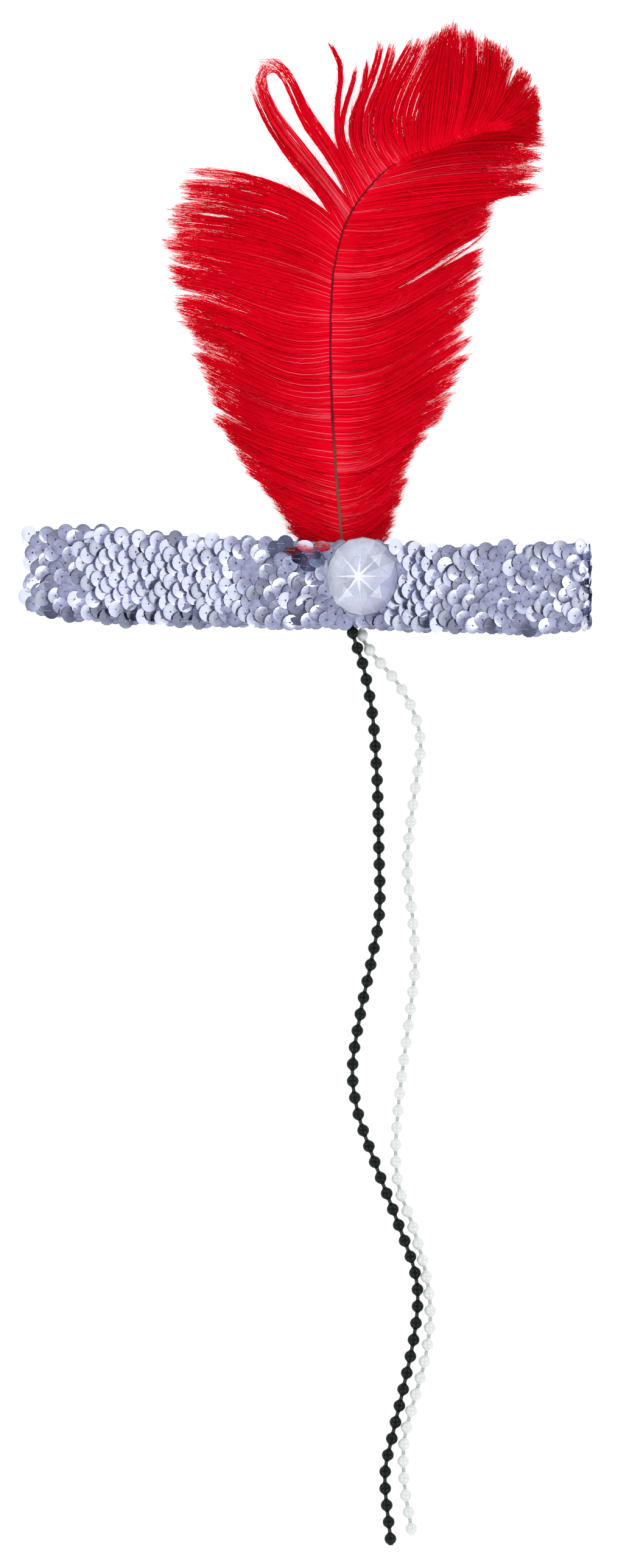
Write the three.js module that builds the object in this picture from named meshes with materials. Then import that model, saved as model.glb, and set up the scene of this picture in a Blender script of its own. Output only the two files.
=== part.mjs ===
// Flapper headband, lying flat: a sequinned stretch band, a cut stone on its front,
// an ostrich plume tucked behind the front wall, and two strings of round beads.
// Millimetres. +Z is up from the surface that the headband lies on, +Y runs from the
// beads to the plume, and +X is to the right as the front of the band is seen.
// The origin is on that surface, under the middle of the band.
import * as THREE from "three";

// Band: one loop, pressed flat, with its front wall on top and its back wall on the surface
const BAND_LENGTH = 232; // over the two folds
const BAND_WALL = 2.2; // elastic net and overlapping sequins together
const BAND_HEIGHT = 14; // over both walls at the folds
const BAND_SAG = 3; // how far the front wall dips between the folds
const SEQUINS_ON_EDGE = 56; // scallops that the sequins make along each edge
const SCALLOP_DEPTH = 1.3;
const STEPS_PER_SCALLOP = 3;

// The band lies in a slight curve: x along it, drift of its middle line, width over sequins
const BAND_LIE = [
  { x: -118, drift: 4.5, width: 34 },
  { x: -95, drift: 3.2, width: 40 },
  { x: -60, drift: 0.8, width: 39 },
  { x: -20, drift: -0.8, width: 38 },
  { x: 20, drift: -1.2, width: 37 },
  { x: 55, drift: -3.0, width: 36.5 },
  { x: 90, drift: -3.0, width: 39 },
  { x: 118, drift: -1.5, width: 37 },
];

// Stone: an oval brilliant crown on a flat back
const STONE_LENGTH = 32.5; // along Y
const STONE_WIDTH = 29.4; // along X
const STONE_CROWN = 6.4;
const STONE_GIRDLE = 1.6;
const STONE_CENTRE_X = 22.3;
const STONE_CENTRE_Y = 1.8;
const STONE_TILT = 3; // degrees, its right edge carried higher on the sequins
const MAIN_FACETS = 8;
const TABLE_SHARE = 0.55; // of the stone's own radius
const STAR_SHARE = 0.8;

// Plume: the shaft's line from its hidden end to its tip
const SHAFT_ROOT_RADIUS = 1.3;
const SHAFT_TIP_RADIUS = 0.5;
const QUILL_PLACES = [0, 8, 15]; // mm along the shaft, where it is still bare
const SHAFT = [
  { x: 16.3, y: -9.5, z: 7.1 },
  { x: 13.6, y: 19.8, z: 7.1 },
  { x: 10.8, y: 54.0, z: 8.0 },
  { x: 9.3, y: 86.0, z: 9.0 },
  { x: 9.5, y: 114.5, z: 9.8 },
  { x: 11.1, y: 130.5, z: 10.4 },
  { x: 16.9, y: 149.5, z: 11.8 },
  { x: 28.0, y: 164.5, z: 14.5 },
  { x: 38.0, y: 172.5, z: 17.5 },
  { x: 54.5, y: 178.5, z: 20.5 },
  { x: 71.0, y: 184.5, z: 21.5 },
  { x: 81.0, y: 186.0, z: 20.0 },
];

const LOWEST_TIP = 0.1; // height of a lock's tip where it lies on the floor
// Locks of barbs in pairs. At: mm along the shaft. Lean: degrees off the shaft.
// Reach: mm from shaft to tip. Tip: its height. Part: where the vane is split after
// that row, the share of the reach that stays joined.
const LOCKS = [
  { at: 21, leftLean: 57, leftReach: 24, rightLean: 62, rightReach: 24, tip: 1.4 },
  { at: 43, leftLean: 61, leftReach: 46, rightLean: 66, rightReach: 34, tip: LOWEST_TIP },
  { at: 64, leftLean: 66, leftReach: 54, rightLean: 72, rightReach: 51, tip: LOWEST_TIP },
  { at: 84, leftLean: 70, leftReach: 59, rightLean: 69, rightReach: 61, tip: LOWEST_TIP },
  { at: 104, leftLean: 75, leftReach: 63, rightLean: 68, rightReach: 66, tip: LOWEST_TIP },
  { at: 118, leftLean: 77, leftReach: 68, rightLean: 66, rightReach: 68, tip: LOWEST_TIP, rightPart: 0.8 },
  { at: 130, leftLean: 80, leftReach: 70, rightLean: 62, rightReach: 70, tip: LOWEST_TIP },
  { at: 142, leftLean: 85, leftReach: 70, rightLean: 59, rightReach: 67, tip: LOWEST_TIP, rightPart: 0.85 },
  { at: 153, leftLean: 87, leftReach: 68, rightLean: 58.5, rightReach: 65, tip: 0.5, leftPart: 0.3 },
  { at: 163, leftLean: 70, leftReach: 68, rightLean: 51, rightReach: 72, tip: 2.0 },
  { at: 173, leftLean: 75, leftReach: 60, rightLean: 43, rightReach: 72, tip: 3.0, leftPart: 0.35 },
  { at: 181, leftLean: 68, leftReach: 59, rightLean: 38, rightReach: 69, tip: 4.0, leftPart: 0.6 },
  { at: 189, leftLean: 62, leftReach: 51, rightLean: 29, rightReach: 62, tip: 5.0 },
  { at: 199, leftLean: 65, leftReach: 53, rightLean: 14, rightReach: 53, tip: 6.0 },
  { at: 212, leftLean: 64, leftReach: 49, rightLean: 13.5, rightReach: 40, tip: 7.0 },
  { at: 226, leftLean: 55, leftReach: 36, rightLean: 15, rightReach: 26, tip: 8.0 },
  { at: 237, leftLean: 15, leftReach: 16.5, rightLean: 0, rightReach: 15, tip: 10.0 },
];
// How many degrees further off the shaft a lock is at its root than at its tip
const SWEEPS = [
  { at: 17, left: -14, right: 14 },
  { at: 140, left: -16, right: 16 },
  { at: 165, left: 4, right: 8 },
  { at: 190, left: 18, right: 0 },
  { at: 240, left: 22, right: 0 },
];
const LOCK_ARCH = 2.5; // how far a lock rises over the straight line to its tip
// From one row to the next there is a parting, one more pair of locks and a parting.
// Share: of the way to the next row. SplitShare: the same where the vane is split, so
// that the extra lock keeps to the first row. Reach and thick: of the locks' own.
const BETWEEN_ROWS = [
  { share: 0, splitShare: 0, reach: 1, thick: 1 },
  { share: 0.25, splitShare: -0.15, reach: 0.92, thick: 0.45 },
  { share: 0.5, splitShare: -0.3, reach: 1, thick: 1 },
  { share: 0.75, splitShare: 0.35, reach: 0.92, thick: 0.45, isSplit: true },
];
// Along one lock: u from root to tip, half thickness in mm
const LOCK_SECTIONS = [
  { u: 0.36, half: 2.0 },
  { u: 0.74, half: 1.7 },
];
const THINNING_FROM = 0.62; // share of the shaft from which the locks get thinner
const THINNEST = 0.3; // share of their thickness that is left at the shaft's tip

// Bead strings: round beads moulded on a thread, laid in loose waves
const BEAD_DIAMETER = 4.8;
const BEAD_SIDES = 10;
const THREAD_DIAMETER = 1.1;
const THREAD_SIDES = 5;
const FLOOR_Z = BEAD_DIAMETER / 2; // height of a bead's centre where the string lies
// Along one bead: axial place and radius, in bead radii
const BEAD_SECTIONS = [
  { along: -0.7, radius: 0.714 },
  { along: 0, radius: 1 },
  { along: 0.7, radius: 0.714 },
];
const BLACK_STRING = {
  pitch: 6.92,
  firstBead: 8.9, // mm of thread up to the centre of the first bead
  route: [
    [17.8, -12.4, 7.95],
    [18.1, -16.5, 7.6],
    [18.3, -21.2, 6.9],
    [20.2, -27.4, 4.7],
    [22.4, -34.0, FLOOR_Z],
    [26.3, -54.0, FLOOR_Z],
    [28.3, -81.3, FLOOR_Z],
    [29.0, -108.8, FLOOR_Z],
    [29.2, -136.8, FLOOR_Z],
    [25.8, -156.8, FLOOR_Z],
    [21.5, -177.3, FLOOR_Z],
    [18.2, -201.3, FLOOR_Z],
    [20.5, -218.3, FLOOR_Z],
    [27.0, -237.5, FLOOR_Z],
    [36.8, -263.3, FLOOR_Z],
    [43.6, -282.8, FLOOR_Z],
    [45.0, -293.8, FLOOR_Z],
    [43.6, -309.3, FLOOR_Z],
    [39.5, -329.5, FLOOR_Z],
    [34.8, -350.0, FLOOR_Z],
    [31.6, -366.3, FLOOR_Z],
    [33.8, -393.4, FLOOR_Z],
  ],
};
const WHITE_STRING = {
  pitch: 7.01,
  firstBead: 11.2,
  route: [
    [21.7, -12.4, 7.95],
    [21.9, -15.6, 7.0],
    [22.1, -18.8, 4.4],
    [22.3, -22.9, FLOOR_Z],
    [25.4, -28.4, FLOOR_Z],
    [37.5, -43.0, FLOOR_Z],
    [44.0, -55.5, FLOOR_Z],
    [46.2, -66.8, FLOOR_Z],
    [44.2, -83.5, FLOOR_Z],
    [41.5, -104.5, FLOOR_Z],
    [40.7, -117.8, FLOOR_Z],
    [43.0, -139.3, FLOOR_Z],
    [44.0, -156.3, FLOOR_Z],
    [42.2, -174.3, FLOOR_Z],
    [39.5, -195.0, FLOOR_Z],
    [37.0, -216.3, FLOOR_Z],
    [36.0, -236.5, FLOOR_Z],
    [37.4, -249.0, FLOOR_Z],
    [43.0, -264.8, FLOOR_Z],
    [48.6, -285.5, FLOOR_Z],
    [50.2, -301.3, FLOOR_Z],
    [48.0, -319.5, FLOOR_Z],
    [44.2, -333.8, FLOOR_Z],
    [39.6, -352.3, FLOOR_Z],
    [39.4, -368.5, FLOOR_Z],
    [42.8, -391.4, FLOOR_Z],
  ],
};

const UP = new THREE.Vector3(0, 0, 1);
const { degToRad, lerp } = THREE.MathUtils;

// Joins two rings of points with triangles, also where one ring has twice as many points.
function stitch(index, startA, countA, startB, countB) {
  const steps = Math.max(countA, countB);
  for (let k = 0; k < steps; k++) {
    const a = Math.floor((k * countA) / steps);
    const aNext = Math.floor(((k + 1) * countA) / steps);
    const b = Math.floor((k * countB) / steps);
    const bNext = Math.floor(((k + 1) * countB) / steps);
    const A = startA + a;
    const B = startB + (bNext % countB);
    if (aNext !== a) index.push(A, startA + (aNext % countA), B);
    if (bNext !== b) index.push(A, B, startB + b);
  }
}

// Fills a ring of points, across it from its first and last points onwards.
function closeRing(index, start, count) {
  for (let low = 0, high = count - 1; high - low > 1; low++, high--) {
    index.push(start + low, start + low + 1, start + high);
    if (high - low > 2) index.push(start + low + 1, start + high - 1, start + high);
  }
}

// A closed body through a row of rings, whose points run anticlockwise seen from the
// last ring. A loop joins its last ring to its first; otherwise both ends are capped.
function skin(rings, isLoop = false) {
  const points = rings.flat();
  const index = [];
  const starts = [];
  rings.reduce((start, ring) => {
    starts.push(start);
    return start + ring.length;
  }, 0);
  rings.forEach((ring, i) => {
    const next = (i + 1) % rings.length;
    if (next === 0 && !isLoop) return;
    stitch(index, starts[i], ring.length, starts[next], rings[next].length);
  });
  if (!isLoop) {
    const last = starts.at(-1);
    const firstCap = [];
    closeRing(firstCap, 0, rings[0].length);
    index.push(...firstCap.reverse());
    closeRing(index, last, rings.at(-1).length);
  }
  return new THREE.BufferGeometry().setFromPoints(points).setIndex(index);
}

// Points around a centre, across the direction of travel; the first lies at startAngle.
function ringAcross(centre, along, sides, radius, startAngle = 0) {
  const across = new THREE.Vector3().crossVectors(along, UP).normalize();
  const over = new THREE.Vector3().crossVectors(along, across);
  return Array.from({ length: sides }, (_, k) => {
    const angle = startAngle + (2 * Math.PI * k) / sides;
    return centre
      .clone()
      .addScaledVector(across, radius * Math.cos(angle))
      .addScaledVector(over, radius * Math.sin(angle));
  });
}

function smoothCurve(points) {
  const curve = new THREE.CatmullRomCurve3(points, false, "centripetal");
  curve.arcLengthDivisions = 1200;
  return curve;
}

// The band's lie at a place along it, eased between the rows of the table.
function bandLie(x) {
  const next = BAND_LIE.findIndex((row) => row.x > x);
  const [a, b] = [BAND_LIE[next - 1], BAND_LIE[next]];
  const share = THREE.MathUtils.smoothstep(x, a.x, b.x);
  return { drift: lerp(a.drift, b.drift, share), width: lerp(a.width, b.width, share) };
}

// Middle of the wall and its outward normal, at a distance round the loop as seen from
// the bead side: along the back wall, round the right fold, back over the front wall.
const FOLD_RADIUS = (BAND_HEIGHT - BAND_WALL) / 2;
const STRAIGHT = BAND_LENGTH - BAND_HEIGHT;
const FOLD_ARC = Math.PI * FOLD_RADIUS;
const LOOP_LENGTH = 2 * (STRAIGHT + FOLD_ARC);

const frontDip = (x) => BAND_SAG * (1 - (2 * x / STRAIGHT) ** 2);

function loopPlace(distance) {
  const half = LOOP_LENGTH / 2;
  const onFront = distance >= half;
  const travel = onFront ? distance - half : distance;
  const turn = Math.max(0, travel - STRAIGHT) / FOLD_RADIUS;
  const facing = onFront ? 1 : -1;
  const end = STRAIGHT / 2;
  const x = -facing * (Math.min(travel, STRAIGHT) - end + FOLD_RADIUS * Math.sin(turn));
  const rise = facing * FOLD_RADIUS * Math.cos(turn);
  const dip = onFront && turn === 0 ? frontDip(x) : 0;
  return {
    x,
    z: BAND_HEIGHT / 2 + rise - dip,
    normal: new THREE.Vector3(-facing * Math.sin(turn), 0, facing * Math.cos(turn)),
  };
}

function bandGeometry() {
  const steps = SEQUINS_ON_EDGE * STEPS_PER_SCALLOP;
  const rings = Array.from({ length: steps }, (_, step) => {
    const { x, z, normal } = loopPlace((LOOP_LENGTH * step) / steps);
    const { drift, width } = bandLie(x);
    const valley = step % STEPS_PER_SCALLOP === 0 ? SCALLOP_DEPTH : 0;
    const half = width / 2 - valley;
    const corner = (face, edge) =>
      new THREE.Vector3(x, drift + edge * half, z).addScaledVector(normal, (face * BAND_WALL) / 2);
    return [corner(1, -1), corner(1, 1), corner(-1, 1), corner(-1, -1)];
  });
  return skin(rings, true);
}

// The stone stands on its flat back at z = 0, with its centre on the Z axis.
function stoneGeometry() {
  const girdlePoints = 2 * MAIN_FACETS;
  const facetTurn = (2 * Math.PI) / MAIN_FACETS;
  const ovalRing = (count, startAngle, share, z) =>
    Array.from({ length: count }, (_, k) => {
      const angle = startAngle + (2 * Math.PI * k) / count;
      return new THREE.Vector3(
        (share * STONE_WIDTH * Math.cos(angle)) / 2,
        (share * STONE_LENGTH * Math.sin(angle)) / 2,
        z,
      );
    });
  // The star points' height keeps each kite-shaped main facet flat.
  const starHeight =
    (STONE_CROWN * (1 - STAR_SHARE * Math.cos(facetTurn / 2))) / (1 - TABLE_SHARE);
  return skin([
    ovalRing(girdlePoints, 0, 1, 0),
    ovalRing(girdlePoints, 0, 1, STONE_GIRDLE),
    ovalRing(MAIN_FACETS, 0, STAR_SHARE, STONE_GIRDLE + starHeight),
    ovalRing(MAIN_FACETS, -facetTurn / 2, TABLE_SHARE, STONE_GIRDLE + STONE_CROWN),
  ]);
}

const shaftCurve = smoothCurve(SHAFT.map(({ x, y, z }) => new THREE.Vector3(x, y, z)));
const shaftLength = shaftCurve.getLength();

const shaftRadius = (share) => lerp(SHAFT_ROOT_RADIUS, SHAFT_TIP_RADIUS, share);

function sweepAt(at, sideName) {
  const after = Math.max(1, SWEEPS.findIndex((row) => row.at >= at));
  const row = SWEEPS[after - 1];
  const next = SWEEPS[after];
  return lerp(row[sideName], next[sideName], (at - row.at) / (next.at - row.at));
}

// The curve that a lock follows from the shaft to its tip. Side is 1 on the left, -1 on the right.
function lockCurve(root, along, side, { lean, sweep, reach, tip }) {
  const towards = (degrees, distance, z) =>
    along
      .clone()
      .applyAxisAngle(UP, side * degToRad(degrees))
      .multiplyScalar(distance)
      .add(root)
      .setZ(z);
  const bend = towards(lean + sweep, reach / 2, (root.z + tip) / 2 + LOCK_ARCH);
  return new THREE.QuadraticBezierCurve3(root, bend, towards(lean, reach, tip));
}

// One lock's lean, reach and tip height, on one side, between two rows of the table.
function lockBetween(row, next, place, sideName) {
  const part = row[sideName + "Part"];
  const share = part ? place.splitShare : place.share;
  const blend = (name) => lerp(row[name], next[name], share);
  return {
    lean: blend(sideName + "Lean"),
    sweep: sweepAt(blend("at"), sideName),
    reach: blend(sideName + "Reach"),
    tip: Math.max(blend("tip"), LOWEST_TIP),
    reachShare: part && place.isSplit ? part : place.reach,
  };
}

// The plume cut along a pair of locks: from the left tip over the shaft to the right
// tip, and back underneath.
function lockPairRing(row, next, place) {
  const share = lerp(row.at, next.at, place.share) / shaftLength;
  const root = shaftCurve.getPointAt(share);
  const along = shaftCurve.getTangentAt(share).setZ(0).normalize();
  const radius = shaftRadius(share);
  const thinned = lerp(1, THINNEST, Math.max(0, share - THINNING_FROM) / (1 - THINNING_FROM));
  const half = (sideName, side) => {
    const lock = lockBetween(row, next, place, sideName);
    const curve = lockCurve(root, along, side, lock);
    const face = (facing) =>
      LOCK_SECTIONS.map((section) =>
        curve
          .getPoint(section.u * lock.reachShare)
          .addScaledVector(UP, facing * section.half * place.thick * thinned),
      );
    return { tip: curve.getPoint(lock.reachShare), top: face(1), under: face(-1) };
  };
  const left = half("left", 1);
  const right = half("right", -1);
  return [
    left.tip,
    ...left.top.reverse(),
    root.clone().addScaledVector(UP, radius),
    ...right.top,
    right.tip,
    ...right.under.reverse(),
    root.clone().addScaledVector(UP, -radius),
    ...left.under,
  ];
}

function plumeGeometry() {
  const quillSides = 4 + 4 * LOCK_SECTIONS.length;
  const quill = QUILL_PLACES.map((at) => {
    const share = at / shaftLength;
    const centre = shaftCurve.getPointAt(share);
    const along = shaftCurve.getTangentAt(share);
    return ringAcross(centre, along, quillSides, shaftRadius(share), Math.PI);
  });
  const locks = LOCKS.slice(0, -1).flatMap((row, i) =>
    BETWEEN_ROWS.map((place) => lockPairRing(row, LOCKS[i + 1], place)),
  );
  const last = LOCKS.at(-1);
  return skin([...quill, ...locks, lockPairRing(last, last, BETWEEN_ROWS[0])]);
}

function beadStringGeometry({ pitch, firstBead, route }) {
  const curve = smoothCurve(route.map((point) => new THREE.Vector3(...point)));
  const length = curve.getLength();
  const beadRadius = BEAD_DIAMETER / 2;
  const threadRadius = THREAD_DIAMETER / 2;
  const firstAngle = Math.PI / 2; // a corner straight up or down, so each bead stands on one
  const poleAlong = Math.sqrt(1 - (threadRadius / beadRadius) ** 2);
  const threadRing = (centre, along) =>
    ringAcross(centre, along, THREAD_SIDES, threadRadius, firstAngle);

  const rings = [];
  const bareSteps = 3;
  for (let step = 0; step < bareSteps; step++) {
    const share = ((step / bareSteps) * (firstBead - beadRadius)) / length;
    rings.push(threadRing(curve.getPointAt(share), curve.getTangentAt(share)));
  }
  for (let place = firstBead; place < length; place += pitch) {
    const centre = curve.getPointAt(place / length);
    const along = curve.getTangentAt(place / length);
    centre.z = Math.max(centre.z, FLOOR_Z);
    const offset = (share) => centre.clone().addScaledVector(along, share * beadRadius);
    rings.push(threadRing(offset(-poleAlong), along));
    for (const section of BEAD_SECTIONS) {
      const radius = section.radius * beadRadius;
      rings.push(ringAcross(offset(section.along), along, BEAD_SIDES, radius, firstAngle));
    }
    rings.push(threadRing(offset(poleAlong), along));
  }
  return skin(rings);
}

function finish(color, roughness, metalness) {
  return new THREE.MeshStandardMaterial({ color, roughness, metalness, flatShading: true });
}

function piece(name, geometry, material) {
  const mesh = new THREE.Mesh(geometry, material);
  mesh.name = name;
  return mesh;
}

const headband = new THREE.Group();
const stone = piece("stone", stoneGeometry(), finish(0xdfe3f2, 0.08, 0.1));
const seatClearance = 0.3;
const stoneTilt = degToRad(STONE_TILT);
const stoneSeat = BAND_HEIGHT - frontDip(STONE_CENTRE_X - STONE_WIDTH / 2) + seatClearance;
stone.rotation.y = -stoneTilt;
stone.position.set(
  STONE_CENTRE_X,
  STONE_CENTRE_Y,
  stoneSeat + (STONE_WIDTH / 2) * Math.sin(stoneTilt),
);
headband.add(
  piece("sequin_band", bandGeometry(), finish(0xb9bdd6, 0.3, 0.8)),
  stone,
  piece("plume", plumeGeometry(), finish(0xd4001c, 0.85, 0)),
  piece("bead_string_black", beadStringGeometry(BLACK_STRING), finish(0x151a16, 0.25, 0)),
  piece("bead_string_white", beadStringGeometry(WHITE_STRING), finish(0xe4e6e2, 0.3, 0)),
);

export default headband;
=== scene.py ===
"""A flapper headband lying flat: a sequinned stretch band, a cut stone on its front, a dyed
ostrich plume tucked behind the front wall, and two strings of round beads.

Tables and helpers work in millimetres, and meshes are written in metres. +Z is up from the
floor, +Y runs from the beads to the plume, and +X is to the right.
"""

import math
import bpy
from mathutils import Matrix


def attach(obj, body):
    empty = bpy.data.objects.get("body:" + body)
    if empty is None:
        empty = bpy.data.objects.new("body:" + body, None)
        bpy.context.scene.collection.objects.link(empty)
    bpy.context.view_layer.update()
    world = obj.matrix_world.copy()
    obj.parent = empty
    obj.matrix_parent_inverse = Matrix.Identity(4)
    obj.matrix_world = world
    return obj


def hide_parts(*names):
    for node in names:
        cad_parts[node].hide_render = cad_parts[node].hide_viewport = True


bl_info = {
    "name": "Flapper Headband",
    "version": (1, 0, 0),
    "blender": (4, 5, 0),
    "location": "View3D > Sidebar > Headband",
    "description": "Makes a sequinned headband with its stone, plume and bead strings",
    "category": "Object",
}

from collections import namedtuple

import bmesh
import bpy
import numpy as np
from bpy.props import FloatProperty, FloatVectorProperty, IntProperty, PointerProperty
from mathutils import Matrix, Vector

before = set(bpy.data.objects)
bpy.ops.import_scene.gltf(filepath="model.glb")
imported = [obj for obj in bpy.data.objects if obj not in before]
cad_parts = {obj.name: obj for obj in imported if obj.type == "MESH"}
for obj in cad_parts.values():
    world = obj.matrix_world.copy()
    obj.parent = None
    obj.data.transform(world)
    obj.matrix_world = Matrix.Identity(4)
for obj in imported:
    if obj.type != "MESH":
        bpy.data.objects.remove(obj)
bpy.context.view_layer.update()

MM = 0.001
UP = np.array([0.0, 0.0, 1.0])

# Band: one loop, pressed flat, with its front wall on top
BAND_LENGTH = 232.0
BAND_WALL = 2.2
BAND_HEIGHT = 14.0
BAND_SAG = 3.0
FOLD_RADIUS = (BAND_HEIGHT - BAND_WALL) / 2
STRAIGHT = BAND_LENGTH - BAND_HEIGHT
LOOP_LENGTH = 2 * (STRAIGHT + math.pi * FOLD_RADIUS)
# x along the band, drift of its middle line, width over the sequins
BAND_LIE = [
    (-118, 4.5, 34),
    (-95, 3.2, 40),
    (-60, 0.8, 39),
    (-20, -0.8, 38),
    (20, -1.2, 37),
    (55, -3.0, 36.5),
    (90, -3.0, 39),
    (118, -1.5, 37),
]
# Net under the sequins: how much narrower it is than they are, and its depth in the wall
NET_INSET = 3.2
NET_DEPTH = 1.05
# x along the front, how steeply the sequins lie on each other there, and how far they lean
# towards the bead side, in degrees
SEQUIN_LIE = [
    (-125, 22, 6),
    (-108, 13, 4),
    (-95, 12, 4),
    (-88, 25, 0),
    (-34, 25, 0),
    (-26, 12, 4),
    (34, 12, 3),
    (39, 27, 0),
    (52, 27, 0),
    (58, 12, 3),
    (90, 11, 3),
    (100, 15, 1),
    (125, 14, 4),
]

# Sequins: radius of the hole, share of the radius that is flat, and thickness of the film
SEQUIN_HOLE = 0.42
SEQUIN_FLAT = 0.58
SEQUIN_FILM = 0.12
STITCH_RADIUS = 0.05
# Share of the edge sequins that lie half under their row, on the bead side and the plume side
TUCKED_SHARES = [0.22, 0.1]
# Where the plume under the front wall turns sequins up, and how far round that place
UPTURNED_PLACE = (0.5, 11.0)
UPTURNED_REACH = 6.5

# Stone: an oval brilliant crown on a flat back
STONE_CROWN = 6.4
STONE_GIRDLE = 1.6
STONE_CENTRE = (22.3, 1.8)
STONE_TILT = math.radians(3)
STONE_CLEARANCE = 0.3
STONE_FACETS = 8
STONE_STEP = 2 * math.pi / STONE_FACETS
TABLE_SHARE = 0.55
STAR_SHARE = 0.8
# Its silvered back: share of the outline, depth, height of its middle, and how far it is folded
# between the rays and sinks at the culet
FOIL_SHARE = 0.955
FOIL_DEPTH = 1.0
FOIL_MIDDLE = 0.7
FOIL_FOLD = 0.35
CULET_SHIFT = -1.6
CULET_DEPTH = 0.85
RAY_RADIUS = 0.8

# Plume: the shaft's radius at both ends, and its line from its hidden end to its tip
SHAFT_ROOT = 0.75
SHAFT_TIP = 0.32
SHAFT = [
    (16.3, -9.5, 7.1),
    (13.6, 19.8, 7.1),
    (10.8, 54.0, 8.0),
    (9.3, 86.0, 9.0),
    (9.5, 114.5, 9.8),
    (11.1, 130.5, 10.4),
    (16.9, 149.5, 11.8),
    (28.0, 164.5, 14.5),
    (38.0, 172.5, 17.5),
    (54.5, 178.5, 20.5),
    (71.0, 184.5, 21.5),
    (81.0, 186.0, 20.0),
]
# mm along the shaft, and how far it dips under the barbs there
SHAFT_DIP = ([186, 202], [0, 2.2])
# Locks of barbs in pairs: mm along the shaft, lean off the shaft and reach on the left,
# the same on the right, height of the tips, and 1 where the vane parts after that row
Lock = namedtuple("Lock", "at left_lean left_reach right_lean right_reach tip left_part right_part")
LOCKS = [
    Lock(21, 57, 24, 62, 24, 1.4, 0, 0),
    Lock(43, 61, 46, 66, 34, 0.1, 0, 0),
    Lock(64, 66, 54, 72, 51, 0.1, 0, 0),
    Lock(84, 70, 59, 69, 61, 0.1, 0, 0),
    Lock(104, 75, 63, 68, 66, 0.1, 0, 0),
    Lock(118, 77, 68, 66, 68, 0.1, 0, 1),
    Lock(130, 80, 70, 62, 70, 0.1, 0, 0),
    Lock(142, 85, 70, 59, 67, 0.1, 0, 1),
    Lock(153, 87, 68, 57, 65, 0.5, 1, 0),
    Lock(163, 70, 68, 53, 73.5, 2.0, 0, 0),
    Lock(173, 75, 60, 44, 72, 3.0, 1, 0),
    Lock(181, 68, 59, 38, 69, 4.0, 1, 0),
    Lock(189, 62, 51, 26, 62, 5.0, 0, 0),
    Lock(199, 65, 53, 9, 53, 6.0, 0, 0),
    Lock(212, 64, 49, 5, 39, 7.0, 0, 0),
    Lock(226, 55, 36, 2, 25, 8.0, 0, 0),
    Lock(237, 15, 16.5, 5, 13.5, 10.0, 0, 0),
]
LOCK_ARCH = 2.5
TIP_RISE = 0.4
# mm along the shaft, and how many tufts the barbs' ends have drawn into up to there
TUFTS = {"left": ([0, 201.5, 240], [0, 37, 52]), "right": ([0, 240], [0, 32])}
# mm along the shaft, and how many degrees further off the shaft the barbs are at the root than
# at the tip, on the left and on the right
SWEEPS = [
    (17, 8, 12),
    (60, 14, 16),
    (100, 14, 18),
    (120, 2, 18),
    (138, -16, 18),
    (153, -30, 14),
    (157, -32, 8),
    (165, 0, -4),
    (190, 18, -18),
    (201, 10, -20),
    (215, -12, -22),
    (238, -16, -24),
]
# How far out a barb bends most, as a share of its reach
BENDS = {"left": 0.45, "right": 0.5}
# mm along the shaft, and how far in mm the barbs swing to and fro there
ESSES = {
    "left": ([70, 95, 115, 125], [0, 2.2, 2.2, 0]),
    "right": ([20, 60, 150, 165], [0.6, 1.5, 1.5, 0]),
}
# mm along the shaft, and how far the barbs' ends have drawn together into their tufts, up to 1
GATHERS = {
    "left": ([196, 202, 221, 226], [0.38, 0.7, 0.7, 0.1]),
    "right": ([196, 202], [0.7, 0.2]),
}
# mm along the shaft, and the power of the share of its length by which a barb draws to its tuft
GATHER_POWER = ([196, 202], [6, 4])
# Share of one side's barbs, counted from the band, and mm along the shaft that they reach up to
BARB_PLACES = ([0, 0.28, 0.55, 0.75, 0.86, 1], [17, 100, 153, 201.5, 222, 237.5])
# Share of a barb's length, and half the width in mm that its strands take up there, for those on
# top and those under them
BARB_WIDTH = ([0, 0.3, 0.65, 0.88, 1], [1.6, 2.1, 2.3, 2.0, 1.3])
UNDER_WIDTH = ([0, 1], [2.0, 2.6])
# The same for a finger of the fan: a share of its own half width, and what its foot adds in mm
FINGER_WIDTH = ([0, 0.3, 0.5, 0.85, 1], [0, 0.3, 1, 1, 0.8])
FINGER_FOOT = ([0, 0.3, 0.5], [1.4, 1.4, 0])
# Share of a barb's length, and half the depth in mm of its strands
BARB_DEPTH = ([0, 0.36, 0.74, 1], [0.3, 1.5, 1.2, 0.1])
# Share of a strand's length, and its radius in mm
STRAND_RADIUS = ([0, 0.55, 1], [0.21, 0.18, 0.08])
# Share of a strand's length, and how long the hairs there may be, as a share of the longest
HAIR_LENGTH = ([0, 0.15, 0.7, 1], [0.8, 1, 1, 0.45])
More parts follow.
